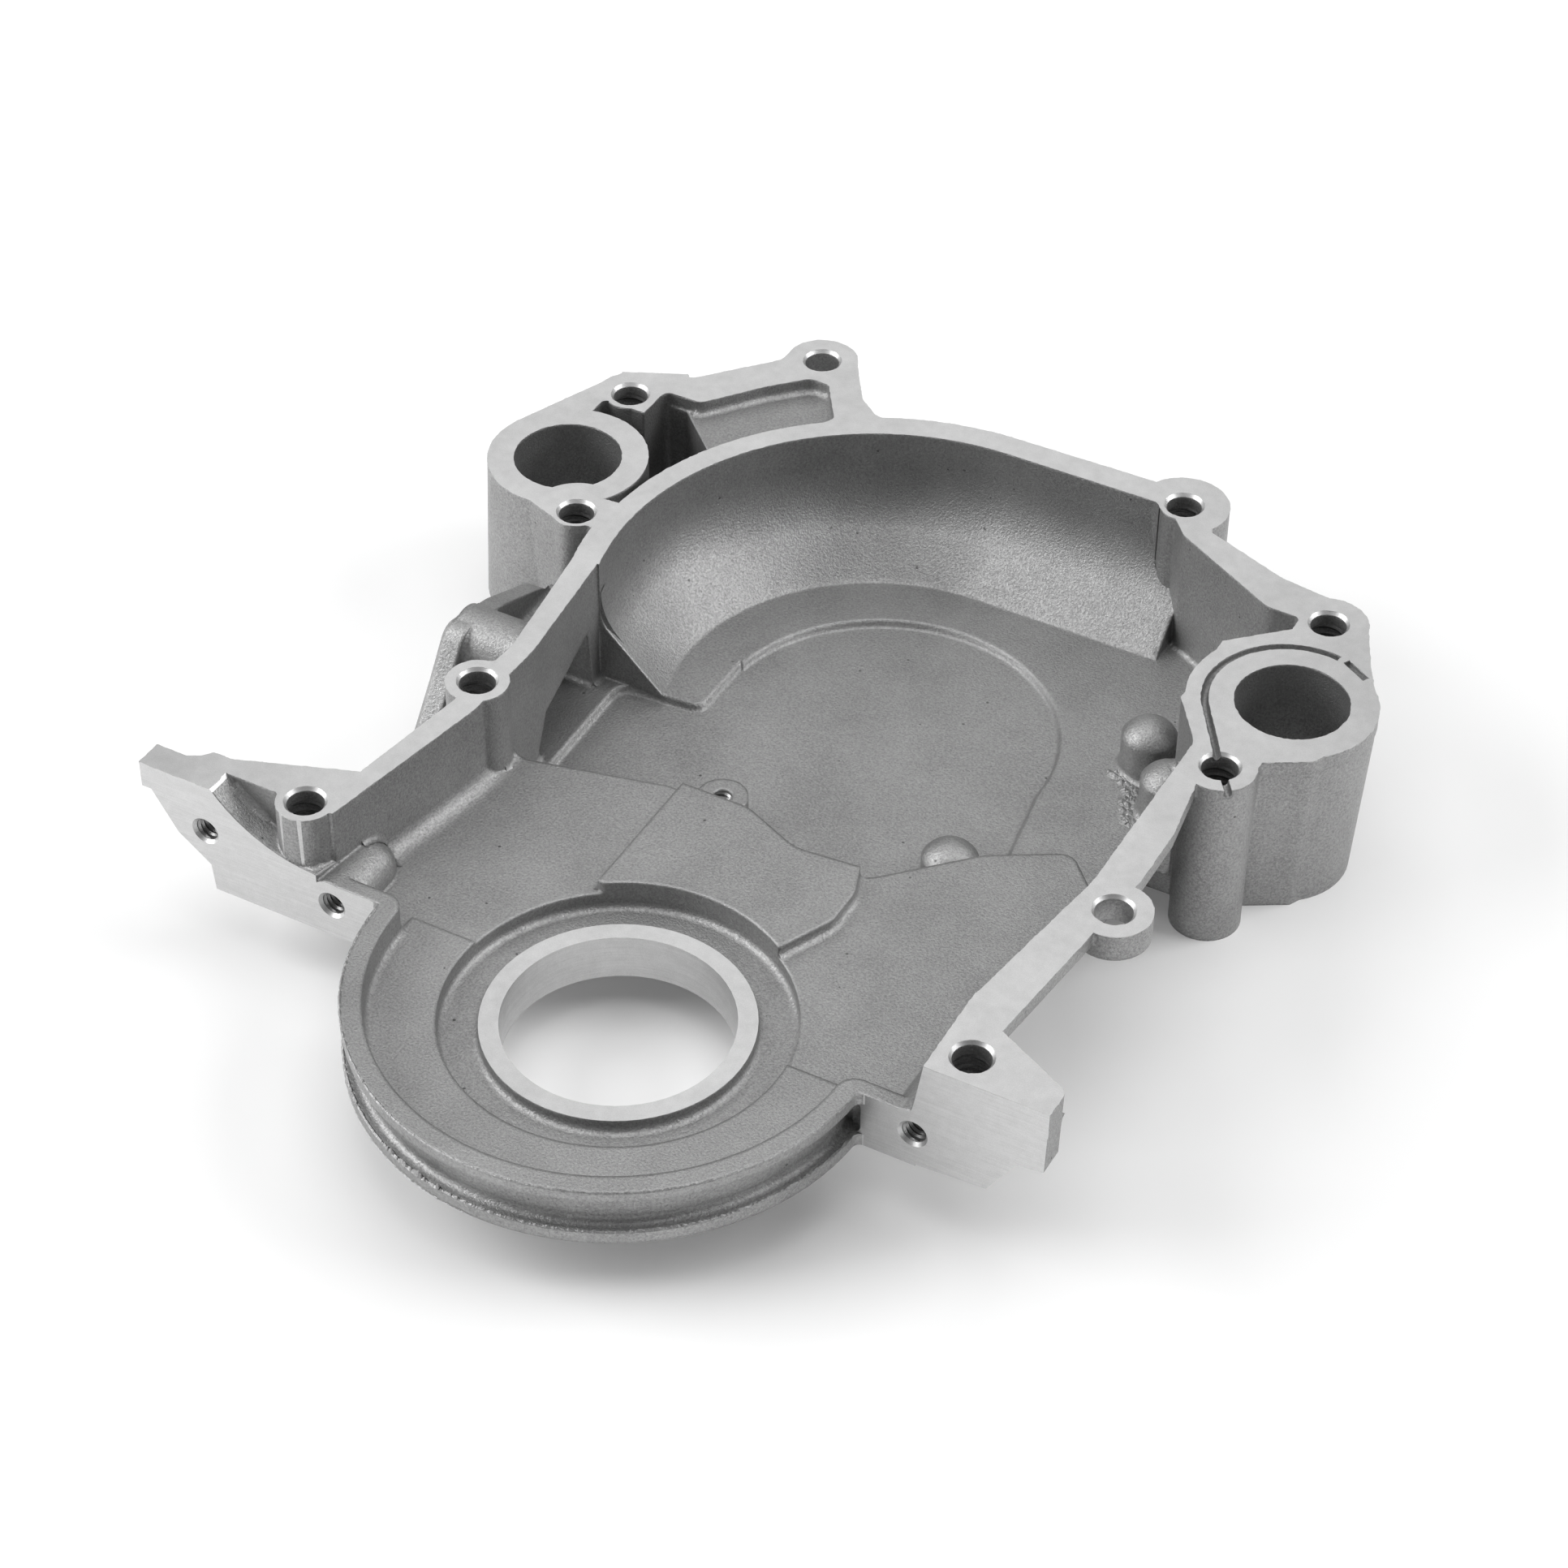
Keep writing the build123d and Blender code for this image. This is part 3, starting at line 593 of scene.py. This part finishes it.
def studio_floor():
    material, n = new_material("pale_floor")
    card = n.add("ShaderNodeBsdfDiffuse")
    card.inputs["Color"].default_value = (0.86, 0.86, 0.86, 1)
    glow = n.add("ShaderNodeEmission")
    path = n.add("ShaderNodeLightPath")
    seen = n.most(*(path.outputs[f"Is {kind} Ray"] for kind in ("Camera", "Glossy", "Transmission")))
    away = n.add("ShaderNodeVectorMath", operation="LENGTH")
    n.set(away.inputs[0], n.add("ShaderNodeTexCoord").outputs["Object"])
    far = n.add("ShaderNodeMapRange")
    n.set(far.inputs["Value"], away.outputs["Value"])
    far.inputs["From Min"].default_value, far.inputs["From Max"].default_value = 0.45, 1.3
    n.set(glow.inputs["Strength"], n.product(seen, n.math("ADD", far.outputs["Result"], 0.10)))
    both = n.add("ShaderNodeAddShader")
    n.set(both.inputs[0], card.outputs[0])
    n.set(both.inputs[1], glow.outputs[0])
    end = n.add("ShaderNodeOutputMaterial")
    n.set(end.inputs["Surface"], both.outputs[0])

    mesh = bpy.data.meshes.new("floor")
    reach, level = 6.0, REST * MM
    corners = [(x * reach, y * reach, level) for x, y in ((-1, -1), (1, -1), (1, 1), (-1, 1))]
    mesh.from_pydata(corners, [], [(0, 1, 2, 3)])
    floor = bpy.data.objects.new("floor", mesh)
    bpy.context.scene.collection.objects.link(floor)
    mesh.materials.append(material)


def soft_box(name, azimuth, elevation, distance, size, power):
    """A square area lamp aimed at the casting; azimuth 0 stands behind the camera, 90 at its right."""
    middle = Vector((0, 0.09, 0))
    turn = math.radians(28.335 + azimuth)
    rise = math.radians(elevation)
    away = Vector((math.sin(turn) * math.cos(rise), -math.cos(turn) * math.cos(rise), math.sin(rise)))
    lamp = bpy.data.lights.new(name, "AREA")
    lamp.size = size
    lamp.energy = power
    holder = bpy.data.objects.new(name, lamp)
    holder.location = middle + away * distance
    holder.rotation_mode = "QUATERNION"
    holder.rotation_quaternion = away.to_track_quat("Z", "Y")
    bpy.context.scene.collection.objects.link(holder)
    return holder


SOFT_BOXES = {
    # name: azimuth, elevation, distance, size, power
    "overhead": (0, 88, 1.4, 1.2, 8.8),
    "left": (-90, 32, 1.5, 1.0, 17.5),
    "right": (90, 35, 1.6, 1.0, 14.0),
    "back": (180, 42, 1.6, 1.0, 3.4),
}


def studio_light():
    for name, placing in SOFT_BOXES.items():
        soft_box(name, *placing)
    world = bpy.data.worlds.new("studio")
    bpy.context.scene.world = world
    world.use_nodes = True
    n = Nodes(world.node_tree)
    around = n.add("ShaderNodeBackground")
    around.inputs["Color"].default_value = (1, 1, 1, 1)
    around.inputs["Strength"].default_value = 0.11
    end = n.add("ShaderNodeOutputWorld")
    n.set(end.inputs["Surface"], around.outputs[0])


def camera():
    """The photograph's own camera, as found from the bolt holes, bores and straight edges."""
    place = Vector((366.58, -593.71, 683.86)) * MM
    forward = Vector((-0.358283, 0.664438, -0.655858))
    right = Vector((0.880190, 0.474622, 0.0))
    roll = math.radians(0.55)
    down = forward.cross(right)
    along = right * math.cos(roll) - down * math.sin(roll)
    lower = right * math.sin(roll) + down * math.cos(roll)
    lens = bpy.data.cameras.new("camera")
    lens.sensor_width = 36.0
    lens.lens = 36.0 * 4800.0 / 1932.0
    lens.clip_start, lens.clip_end = 0.05, 30.0
    holder = bpy.data.objects.new("camera", lens)
    turn = Matrix((along, -lower, -forward)).transposed()
    holder.matrix_world = Matrix.Translation(place) @ turn.to_4x4()
    bpy.context.scene.collection.objects.link(holder)
    bpy.context.scene.camera = holder


studio_floor()
studio_light()
camera()
bpy.context.scene.view_settings.view_transform = "Standard"
